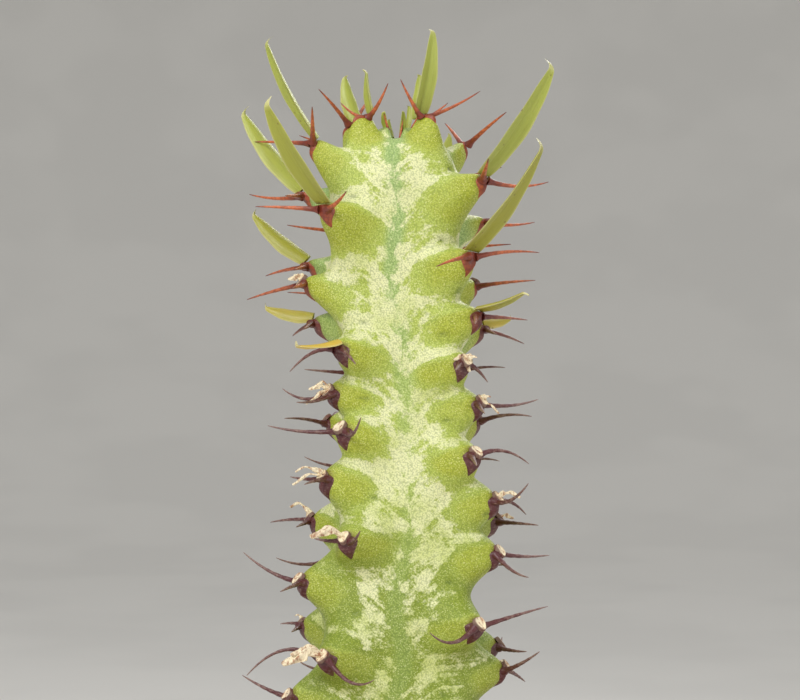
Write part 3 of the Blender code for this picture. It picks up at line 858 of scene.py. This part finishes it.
def dead_leaf_solid(reach, turn, number, right, rise, half):
    """What is left of a dead leaf: a papery strip from its tooth to a point beside it, crumpled and curled."""
    tip, out, _, up = tooth_axes(reach, turn)
    share = np.linspace(0, 1, 34)
    swing = 2 * math.pi * noise_of(number + 0.5)
    end = np.array((right, -0.5 * math.hypot(right, rise) * math.cos(turn), rise)) * MM
    length = np.linalg.norm(end)
    waves = np.sin(9 * share + swing)[:, None] * up + np.cos(7 * share + swing)[:, None] * out
    curl = (share**3)[:, None] * np.array((0.35 * math.copysign(1, right), 0, -0.55)) * length
    waves = waves * (0.10 * length * share * (1.2 - share))[:, None]
    path = tip + out * 0.0006 + end * share[:, None] + waves + curl
    direction = along_path(path)
    wide = unit(np.cross(direction, (0.25 * math.sin(turn), -0.9, 0.35)))
    share, angles = share[:, None], whole_turn(22)
    half = half * MM * (0.75 + 0.35 * np.sin(6 * share + swing)) * np.clip(1.04 - share, 0, 1) ** 0.3
    creases = 0.30 * np.sin(5 * angles + 11 * share) + 0.22 * np.sin(23 * share + 3 * angles)
    across = half * np.cos(angles) * (1 + 0.15 * np.sin(17 * share + swing))
    fold = half * (0.26 * np.sin(angles) + 0.65 * np.cos(angles) ** 2 + 0.55 * creases)
    points = carried(path, wide, across, np.cross(direction, wide), fold)
    values = {"rim": np.full((1, 1), 0.1 * noise_of(number))}
    return closed_grid(points, path[0] - direction[0] * 0.2 * MM, path[-1] + direction[-1] * 0.1 * MM, **values)


def wall_radius(height):
    """Radius of the pot's outer wall below its rim, at a height."""
    return POT_BASE_RADIUS + (POT_MOUTH_RADIUS - POT_BASE_RADIUS) * height / POT_HEIGHT


def corner_arc(corner, before, after, radius, steps=5):
    """Points of an arc of about this radius that rounds a profile's corner."""
    corner, before, after = (np.array(point, float) for point in (corner, before, after))
    start = corner + unit(before - corner) * radius
    end = corner + unit(after - corner) * radius
    t = np.linspace(0, 1, steps + 1)[:, None]
    return start * (1 - t) ** 2 + corner * 2 * t * (1 - t) + end * t**2


def filled_in(outline, spacing):
    """The closed outline with more points along its straight runs, no further apart than the spacing."""
    runs = []
    for start, end in zip(outline, np.roll(outline, -1, axis=0)):
        count = max(1, math.ceil(np.linalg.norm(end - start) / spacing))
        runs.append(start + (end - start) * (np.arange(count) / count)[:, None])
    return np.vstack(runs)


def pot_solid():
    """The pot's section carried round the axis, with faint throwing rings and a waver of its radius."""
    foot = POT_HEIGHT - RIM_HEIGHT
    rim = POT_MOUTH_RADIUS + RIM_STEP
    inner_top, outer_top = (POT_MOUTH_RADIUS - POT_WALL, POT_HEIGHT), (rim, POT_HEIGHT)
    inner_foot = (wall_radius(POT_FLOOR) - POT_WALL, POT_FLOOR)
    rim_foot, under_rim = (wall_radius(foot) + RIM_STEP, foot), (wall_radius(foot), foot)
    base, bore_foot, bore_top = (POT_BASE_RADIUS, 0), (DRAIN_RADIUS, 0), (DRAIN_RADIUS, POT_FLOOR)
    corners = (inner_top, outer_top, rim_foot, under_rim, base, bore_foot, bore_top, inner_foot)
    rounds = RIM_ROUND / np.array((1, 1, 1, 2, 2, 3, 3, 1))
    neighbours = zip(corners, (corners[-1], *corners), (*corners[1:], corners[0]), rounds)
    outline = filled_in(np.vstack([corner_arc(*corner) for corner in neighbours]), 0.0016)
    radius, height = outline[:, :1], outline[:, 1:]
    turns = whole_turn(160)
    rings = 0.00005 * np.sin(height / THROWING_RING + 0.6 * np.sin(turns))
    rings = rings + 0.00012 * np.sin(2 * turns + height / 0.02)
    inside = radius < DRAIN_RADIUS + 0.001
    radius = radius + np.where(inside, 0, rings) * np.clip(height / 0.002, 0, 1)
    return closed_grid(around(radius, turns, height))


def soil_height(x, y):
    """The soil's surface: a low crown that falls to the wall, with crossing waves for its clods."""
    radius = np.hypot(x, y)
    edge = wall_radius(SOIL_LEVEL) - POT_WALL
    clods = sum(
        np.sin(rate * (x * math.cos(way) + y * math.sin(way)) + 5 * way) / (1 + rate / 900)
        for rate, way in ((430, 0.3), (520, 1.5), (690, 2.6), (940, 0.9), (1300, 2.1), (1750, 3.0))
    )
    fade = np.clip((radius - ROOT_RADIUS) / 0.003, 0, 1)
    return SOIL_LEVEL - SOIL_CROWN * (radius / edge) ** 2 + 0.00026 * clods * fade


def soil_solid():
    """The soil turned about the axis: the stem's socket, the uneven surface, and the side and foot."""
    socket, foot = ROOT_RADIUS + GAP, POT_FLOOR + GAP
    edge = wall_radius(SOIL_LEVEL - SOIL_CROWN) - POT_WALL - GAP
    base = wall_radius(foot) - POT_WALL - GAP
    socket_foot = STEM_FOOT - GAP
    turns = whole_turn(220)
    top = around(np.linspace(socket, edge, 70)[:, None], turns, 0.0)
    top[..., 2] = soil_height(top[..., 0], top[..., 1])
    before = around(np.array(((socket / 2,), (socket,))), turns, socket_foot)
    after = around(np.array(((base,), (base / 2,))), turns, foot)
    return closed_grid(np.concatenate([before, top, after]), (0, 0, socket_foot), (0, 0, foot))


def stone_solid(centre, size, tone, draw):
    """A small stone: a ball of five rings of seven points, squashed and knocked out of round."""
    polar = np.linspace(0.35, math.pi - 0.35, 5)[:, None]
    ball = around(np.sin(polar), whole_turn(7) + math.pi / 2, np.cos(polar))
    ball = ball * draw.uniform(0.75, 1.2, ball.shape[:2])[..., None] * draw.uniform(0.65, 1.15, 3)
    tilt = draw.uniform(0, 2 * math.pi)
    turned = np.array(((math.cos(tilt), -math.sin(tilt), 0), (math.sin(tilt), math.cos(tilt), 0), (0, 0, 1)))
    points = centre + size * ball @ turned.T
    tips = (centre + (0, 0, 0.8 * size), centre - (0, 0, 0.8 * size))
    return closed_grid(points, *tips, tone=np.full((1, 1), tone))


def grit_solids(looks):
    """Stones strewn over the soil at random, sunk by a third, clear of the stem and the pot's wall."""
    draw = np.random.default_rng(7)
    edge = wall_radius(SOIL_LEVEL) - POT_WALL
    solids = []
    for _ in range(looks.grit_count):
        size = looks.grit_size * draw.uniform(0.35, 1.0) ** 1.3
        inner, outer = ROOT_RADIUS + 1.3 * size + GAP, edge - 1.3 * size - GAP
        radius = math.sqrt(draw.uniform(inner**2, outer**2))
        turn = draw.uniform(0, 2 * math.pi)
        x, y = radius * math.sin(turn), -radius * math.cos(turn)
        centre = np.array((x, y, float(soil_height(x, y)) + 0.15 * size))
        solids.append(stone_solid(centre, size, draw.uniform(), draw))
    return solids


# ---- Settings ----


def colour_of(name, description, *default):
    """A colour setting whose default is given as a display shows it."""
    words = {"name": name, "description": description, "default": display(*default)}
    return FloatVectorProperty(**words, subtype="COLOR", min=0, max=1)


def length_of(name, description, default):
    """A length setting in metres."""
    return FloatProperty(name=name, description=description, default=default, min=0, unit="LENGTH", precision=5)


def number_of(name, description, default, least=0, **units):
    """A plain number, or one in the given unit or subtype, that is never below its least value."""
    return FloatProperty(name=name, description=description, default=default, min=least, **units)


class SkinLooks(bpy.types.PropertyGroup):
    green: colour_of("Green", "The stem's main green", 180, 194, 84)
    lime: colour_of("Lime", "The yellower green of the tooth cushions", 176, 184, 54)
    deep: colour_of("Deep green", "The darker green of the older stem", 140, 156, 44)
    groove: colour_of("Groove", "The cooler green along the grooves", 156, 184, 112)
    # The cream is also the colour of the painted highlight on the skin's grains.
    cream: colour_of("Cream", "The palest of the marbling", 230, 231, 178)
    pale_green: colour_of("Pale green", "The marbling's greener parts", 196, 206, 112)
    # The pit colour is painted shade for the pits over the teeth and the hollows between the grains; it also
    # darkens the growing tip.
    pit: colour_of("Pit", "The dark green of the pits over the teeth", 62, 92, 24)
    stain: colour_of("Stain", "The brown flush under the shields", 104, 66, 30)
    cork: colour_of("Cork", "The corky skin beside the soil", 132, 116, 84)
    grain_scale: number_of("Grain", "Skin grains in a metre", 3700, 100)


class LeafLooks(bpy.types.PropertyGroup):
    young: colour_of("Young", "Green of the youngest leaves", 170, 178, 78)
    grown: colour_of("Grown", "Olive of the full-grown leaves", 160, 158, 54)
    old: colour_of("Old", "Yellow of the oldest leaves", 214, 178, 74)
    shade: colour_of("Shade", "Darker streaks along the blade", 140, 140, 46)
    rim: colour_of("Rim", "The pale edges and tip", 206, 200, 150)
    spot: colour_of("Spot", "Small brown freckles", 92, 62, 24)
    slimness: number_of("Slimness", "How fast a blade widens with its length", 0.112, 0.01)
    thickness: length_of("Thickness", "How thick a blade is at its foot", 0.0008)


class SpineLooks(bpy.types.PropertyGroup):
    young_root: colour_of("Young root", "Dark red at a young spine's foot", 124, 48, 28)
    young: colour_of("Young", "Orange red of a young spine", 200, 104, 58)
    young_tip: colour_of("Young tip", "The darker tip of a young spine", 124, 62, 48)
    old: colour_of("Old", "Purple brown of old horn", 84, 32, 36)
    dry: colour_of("Dry", "Grey of weathered horn", 142, 114, 104)
    paper: colour_of("Paper", "Cream of dead leaf and scars", 244, 230, 196)
    paper_brown: colour_of("Paper stain", "Brown stains of dead leaf", 162, 104, 70)
    length: length_of("Length", "Length of a grown spine", 0.0108)
    radius: length_of("Radius", "Radius of a spine at its foot", 0.00048)
    spread: number_of("Spread", "Angle of each spine from straight out", math.radians(66), subtype="ANGLE")


class PotLooks(bpy.types.PropertyGroup):
    clay: colour_of("Clay", "The pot's orange brown", 190, 108, 70)
    clay_dark: colour_of("Dark clay", "Its darker mottling", 158, 82, 50)
    bloom: colour_of("Bloom", "The chalky bloom on old clay", 214, 190, 168)
    soil: colour_of("Soil", "Dark of the soil", 46, 36, 28)
    soil_light: colour_of("Light soil", "Its drier crumbs", 92, 74, 56)
    bark: colour_of("Bark", "Grit of dark bark", 62, 44, 32)
    brick: colour_of("Baked clay", "Grit of baked clay", 140, 92, 62)
    pumice: colour_of("Pumice", "Grit of pale pumice", 206, 198, 184)
    grit_count: IntProperty(name="Stones", description="How many stones lie on the soil", default=620, min=0)
    grit_size: length_of("Stone size", "Radius of the largest stone", 0.0019)


class StageLooks(bpy.types.PropertyGroup):
    floor: colour_of("Floor", "The pale studio paper", 222, 220, 215)
    key_power: number_of("Key", "Power of the large front light", 3.0, unit="POWER")
    fill_power: number_of("Fill", "Power of the side light", 0.8, unit="POWER")
    back_power: number_of("Back", "Power of the light behind", 1.0, unit="POWER")
    ceiling_power: number_of("Ceiling", "Power of the wide light overhead", 22.0, unit="POWER")
    sky: number_of("Sky", "Strength of the light from all round", 0.30)
    lens: number_of("Lens", "The camera's focal length in millimetres", 85, 1)
    framed: length_of("Framed width", "Width that the view takes in, at the stem", 0.136)
    framed_depth: length_of("Framed depth", "How far under the tip the view is centred", 0.0391)


LOOKS = {
    "euphorbia_skin_looks": SkinLooks,
    "euphorbia_leaf_looks": LeafLooks,
    "euphorbia_spine_looks": SpineLooks,
    "euphorbia_pot_looks": PotLooks,
    "euphorbia_stage_looks": StageLooks,
}


# ---- Operators ----


class EUPHORBIA_OT_stem(bpy.types.Operator):
    """Grow the toothed, marbled stem"""

    bl_idname = "euphorbia.stem"
    bl_label = "Stem"

    def execute(self, context):
        finish = skin_finish(context.scene.euphorbia_skin_looks)
        make_piece("marbled_stem", [stem_solid()], finish, "stem_skin", "stem")
        return {"FINISHED"}


class EUPHORBIA_OT_leaves(bpy.types.Operator):
    """Grow a narrow leaf over each young tooth, and the leaflets at the growing tip"""

    bl_idname = "euphorbia.leaves"
    bl_label = "Leaves"

    def execute(self, context):
        looks = context.scene.euphorbia_leaf_looks
        finish = leaf_finish(looks)
        number = 0
        for rib, teeth in TEETH.items():
            for i, (length, rise) in LEAVES[rib].items():
                number += 1
                node = f"leaf_{rib}_{i + 1:02d}"
                reach, turn = teeth[i]
                length = length * MM
                tip, out, side, up = tooth_axes(reach, turn)
                way = rising_way(turn, math.radians(rise))
                age = float(np.interp(reach, *LEAF_AGES))
                twist = 0.9 * (noise_of(number) - 0.5)
                at_back = abs(turn) > math.pi / 2
                roll = math.copysign(BACK_LEAF_ROLL, turn) if at_back else min(0.0, -FRONT_LEAF_ROLL * turn)
                root = tip + up * 0.0005 + out * 0.0002
                width = length * looks.slimness + LEAF_BASE_WIDTH
                hook = 0.07 * (1 - 2 * (noise_of(2 * number) > 0.7))
                solid = leaf_solid(root, way, side, length, width, looks.thickness, age, roll, twist, hook)
                make_piece(f"blade_{rib}_{i + 1:02d}", [solid], finish, "leaf", node)
        leaflets = []
        for turn, length, rise in TIP_LEAFLETS:
            way, side = rising_way(turn, rise), level_ways(turn)[1]
            root = skin(0.0022, turn) - way * 0.0004
            leaflets.append(leaf_solid(root, way, side, length * MM, 0.0010, 0.00045, 0.1, 0.0, 0.4, 0.08))
        make_piece("tip_leaflets", leaflets, finish, "leaf")
        return {"FINISHED"}


class EUPHORBIA_OT_spines(bpy.types.Operator):
    """Set a horny shield with its pair of spines on every tooth, rib by rib"""

    bl_idname = "euphorbia.spines"
    bl_label = "Spines"

    def execute(self, context):
        looks = context.scene.euphorbia_spine_looks
        finish = horn_finish(looks)
        number = 0
        for rib, teeth in TEETH.items():
            young, older = [], []
            for i, (reach, turn) in enumerate(teeth):
                number += 1
                node = f"spines_{rib}_{i + 1:02d}"
                tips = SPINE_TIPS[rib].get(i)
                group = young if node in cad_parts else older
                group.extend(spine_pair(reach, turn, number, tips, looks))
            nodes = [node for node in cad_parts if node.startswith(f"spines_{rib}_")]
            make_piece(f"horn_{rib}", young, finish, "spine_horn", *nodes)
            make_piece(f"old_horn_{rib}", older, finish, "spine_horn")
        newest = []
        for turn, right, rise in TIP_SPINES:
            root = skin(0.0026, turn) - (0, 0, 0.5 * MM)
            newest.append(spine_solid(root, np.array((right, 0, rise)) * MM, np.zeros(3), 0.00030, 0.04))
        make_piece("horn_tip", newest, finish, "spine_horn")
        return {"FINISHED"}


class EUPHORBIA_OT_scars(bpy.types.Operator):
    """Add the leaf scars of the bare teeth, and what is left of their dead leaves"""

    bl_idname = "euphorbia.scars"
    bl_label = "Scars and dead leaves"

    def execute(self, context):
        finish = dry_finish(context.scene.euphorbia_spine_looks)
        scars, strips, number = [], [], 0
        for rib, teeth in TEETH.items():
            for i, (reach, turn) in enumerate(teeth):
                number += 1
                if reach > NEWEST_SCAR and i not in LEAVES[rib]:
                    scars.append(scar_solid(reach, turn, 1.15 + 0.35 * noise_of(11 * number)))
                for j, strip in enumerate(DEAD_LEAVES[rib].get(i, ())):
                    strips.append(dead_leaf_solid(reach, turn, number + 50 * j, *strip))
        make_piece("leaf_scars", scars, finish, "spine_horn")
        make_piece("dead_leaves", strips, finish, "leaf")
        return {"FINISHED"}


class EUPHORBIA_OT_pot(bpy.types.Operator):
    """Turn the plain clay pot"""

    bl_idname = "euphorbia.pot"
    bl_label = "Pot"

    def execute(self, context):
        finish = clay_finish(context.scene.euphorbia_pot_looks)
        make_piece("clay_pot", [pot_solid()], finish, "clay", "pot")
        return {"FINISHED"}


class EUPHORBIA_OT_soil(bpy.types.Operator):
    """Fill the pot with soil and strew grit on it"""

    bl_idname = "euphorbia.soil"
    bl_label = "Soil"

    def execute(self, context):
        looks = context.scene.euphorbia_pot_looks
        make_piece("potting_soil", [soil_solid()], earth_finish(looks), "soil", "soil")
        make_piece("soil_grit", grit_solids(looks), grit_finish(looks), "soil")
        return {"FINISHED"}


def add_light(name, place, target, size, power):
    """A square soft light that points at the target."""
    lamp = bpy.data.lights.new(name, "AREA")
    lamp.size = size
    lamp.energy = power
    thing = bpy.data.objects.new(name, lamp)
    thing.location = place
    thing.rotation_euler = (Vector(target) - Vector(place)).to_track_quat("-Z", "Y").to_euler()
    bpy.context.scene.collection.objects.link(thing)


def add_cove(finish):
    """A round studio floor whose edge curves up all round: level to three quarters, then a quarter circle."""
    flat, bend = 1.3, 1.2
    angle = np.linspace(0, math.pi / 2, 24)
    radius = np.concatenate([np.linspace(0.02, flat, 12), flat + bend * np.sin(angle)])
    height = np.concatenate([np.zeros(12), bend * (1 - np.cos(angle))])
    points = around(radius[:, None], whole_turn(96), height[:, None])
    index = np.arange(points[..., 0].size).reshape(points.shape[:2])
    ahead = np.roll(index, -1, axis=1)
    quads = np.stack([index[:-1], index[1:], ahead[1:], ahead[:-1]], axis=-1).reshape(-1, 4).tolist()
    mesh = bpy.data.meshes.new("studio_floor")
    mesh.from_pydata(points.reshape(-1, 3), [], [index[0].tolist(), *quads])
    mesh.materials.append(finish)
    mesh.shade_smooth()
    floor = bpy.data.objects.new("studio_floor", mesh)
    bpy.context.scene.collection.objects.link(floor)


class EUPHORBIA_OT_stage(bpy.types.Operator):
    """Set up the pale studio floor, the soft lights and the camera"""

    bl_idname = "euphorbia.stage"
    bl_label = "Stage"

    def execute(self, context):
        looks = context.scene.euphorbia_stage_looks
        add_cove(backdrop_finish(looks))
        middle = (0, 0, STEM_TOP - looks.framed_depth)
        add_light("key_light", (-0.28, -0.50, 0.52), middle, 0.26, looks.key_power)
        add_light("fill_light", (0.50, -0.32, 0.26), middle, 0.30, looks.fill_power)
        add_light("back_light", (0.22, 0.45, 0.50), middle, 0.25, looks.back_power)
        add_light("ceiling_light", (0, 0, 2.2), (0, 0, 0), 2.4, looks.ceiling_power)
        context.scene.view_settings.view_transform = "Standard"
        world = bpy.data.worlds.new("studio_sky")
        world.use_nodes = True
        background = world.node_tree.nodes["Background"].inputs
        background["Color"].default_value = (1, 1, 1, 1)
        background["Strength"].default_value = looks.sky
        context.scene.world = world
        lens = bpy.data.cameras.new("camera")
        lens.lens = looks.lens
        lens.sensor_width = 36
        camera = bpy.data.objects.new("camera", lens)
        camera.location = (0, -looks.framed * looks.lens / lens.sensor_width, middle[2])
        camera.rotation_euler = (math.pi / 2, 0, 0)
        context.scene.collection.objects.link(camera)
        context.scene.camera = camera
        return {"FINISHED"}


OPERATORS = (
    EUPHORBIA_OT_stage,
    EUPHORBIA_OT_stem,
    EUPHORBIA_OT_leaves,
    EUPHORBIA_OT_spines,
    EUPHORBIA_OT_scars,
    EUPHORBIA_OT_pot,
    EUPHORBIA_OT_soil,
)


class EUPHORBIA_PT_sidebar(bpy.types.Panel):
    """The plant's pieces, its settings and its stage"""

    bl_idname = "EUPHORBIA_PT_sidebar"
    bl_label = "Potted Euphorbia"
    bl_space_type = "VIEW_3D"
    bl_region_type = "UI"
    bl_category = "Euphorbia"

    def draw(self, context):
        for operator in OPERATORS:
            self.layout.operator(operator.bl_idname)
        for name, group in LOOKS.items():
            box = self.layout.box()
            for setting in group.__annotations__:
                box.prop(getattr(context.scene, name), setting)


def register():
    for kind in (*LOOKS.values(), *OPERATORS, EUPHORBIA_PT_sidebar):
        bpy.utils.register_class(kind)
    for name, group in LOOKS.items():
        setattr(bpy.types.Scene, name, PointerProperty(type=group))


def unregister():
    for name in LOOKS:
        delattr(bpy.types.Scene, name)
    for kind in (EUPHORBIA_PT_sidebar, *reversed(OPERATORS), *reversed(LOOKS.values())):
        bpy.utils.unregister_class(kind)


def main():
    register()
    for operator in OPERATORS:
        getattr(bpy.ops.euphorbia, operator.bl_idname.split(".")[1])()


if __name__ == "__main__":
    main()
